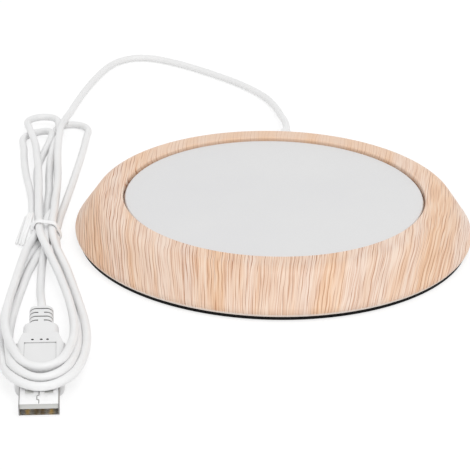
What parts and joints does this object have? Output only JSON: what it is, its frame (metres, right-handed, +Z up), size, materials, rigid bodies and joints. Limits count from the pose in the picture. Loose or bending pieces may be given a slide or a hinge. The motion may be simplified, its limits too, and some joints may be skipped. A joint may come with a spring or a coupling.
{
  "type": "mug warmer",
  "caption": "Low round USB mug warmer with a sloping wood-grain rim, a flat recessed hot plate, a black non-slip base and a tied white lead.",
  "frame": {"origin": "on the table under the middle of the disc", "axes": "+Z up through the hot plate; the lead leaves the rim at +Y; +X to the right seen from the front"},
  "size_m": [0.1752, 0.3199, 0.016],
  "materials": {
    "wood_grain": "satin wood-grain surface",
    "plate_coat": "satin coating",
    "gasket_rubber": "matte",
    "heater_film": "glossy amber film",
    "heater_foil": "etched foil",
    "felt": "matte felt",
    "steel": "brushed",
    "cutout_body": "matte",
    "wire_red": "satin",
    "wire_black": "satin",
    "wire_cream": "satin",
    "black_plastic": "matte",
    "pad_rubber": "matte",
    "white_pvc": "satin",
    "clamp_plastic": "matte",
    "tie_plastic": "satin",
    "plug_metal": "bright nickel plate",
    "tongue_plastic": "matte",
    "contact_gold": "polished"
  },
  "bodies": {
    "root": {"rim_housing": "wood_grain", "hot_plate": "plate_coat", "plate_gasket": "gasket_rubber", "heater_film": "heater_film", "heating_track": "heater_foil", "track_terminals": "steel", "insulation_felt": "felt", "pressing_plate": "steel", "pressing_screws": "steel", "thermal_cutout": "cutout_body", "cutout_clip": "steel", "feed_wire": "wire_red", "return_wire": "wire_black", "link_wire": "wire_cream", "base_cover": "black_plastic", "base_screws": "steel", "non_slip_pad": "pad_rubber", "cord_sleeve": "white_pvc", "cord_inlet": "white_pvc", "cord_clamp": "clamp_plastic", "clamp_screws": "steel", "cord_lead": "white_pvc", "cord_hank": "white_pvc", "cord_tie": "tie_plastic", "plug_grip": "white_pvc", "plug_shell": "plug_metal", "plug_tongue": "tongue_plastic", "plug_contacts": "contact_gold"}
  },
  "joints": []
}
